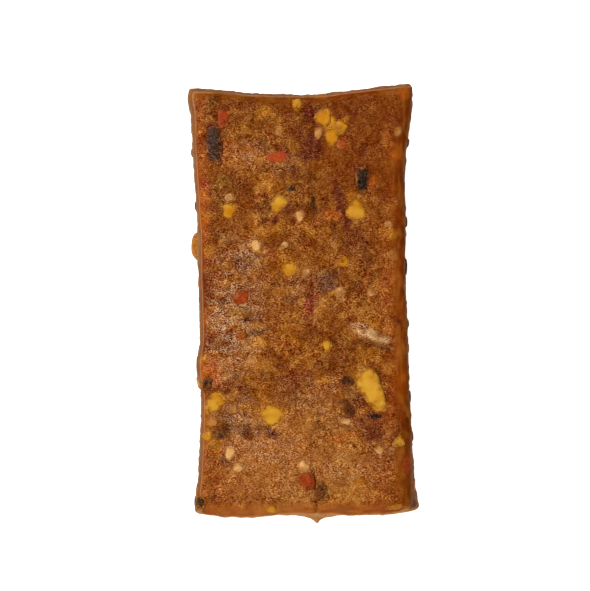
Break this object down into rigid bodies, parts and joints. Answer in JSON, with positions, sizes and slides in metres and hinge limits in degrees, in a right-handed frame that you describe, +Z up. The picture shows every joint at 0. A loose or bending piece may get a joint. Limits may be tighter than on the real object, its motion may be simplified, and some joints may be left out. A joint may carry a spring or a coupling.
{
  "type": "protein bar",
  "caption": "Pressed savoury protein bar: one chewy rounded slab with sweetcorn, red pepper, black bean and soya crisps set in its dough.",
  "frame": {"origin": "on the surface the bar lies on, under the middle of its outline", "axes": "+Y along the bar, away from the end with the wrapper's tip; +X across it; +Z up through its thickness"},
  "size_m": [0.0482, 0.0912, 0.0139],
  "materials": {
    "dough": "moist caramel-brown pressed dough with a satin sheen",
    "sweetcorn": "moist yellow sweetcorn kernels, dulled by the dough's film",
    "red_pepper": "moist brick-red pepper pieces",
    "black_bean": "smooth dark bean pieces",
    "soya_crisp": "dry cream soya crisps"
  },
  "bodies": {
    "root": {"bar": "dough"}
  },
  "joints": []
}
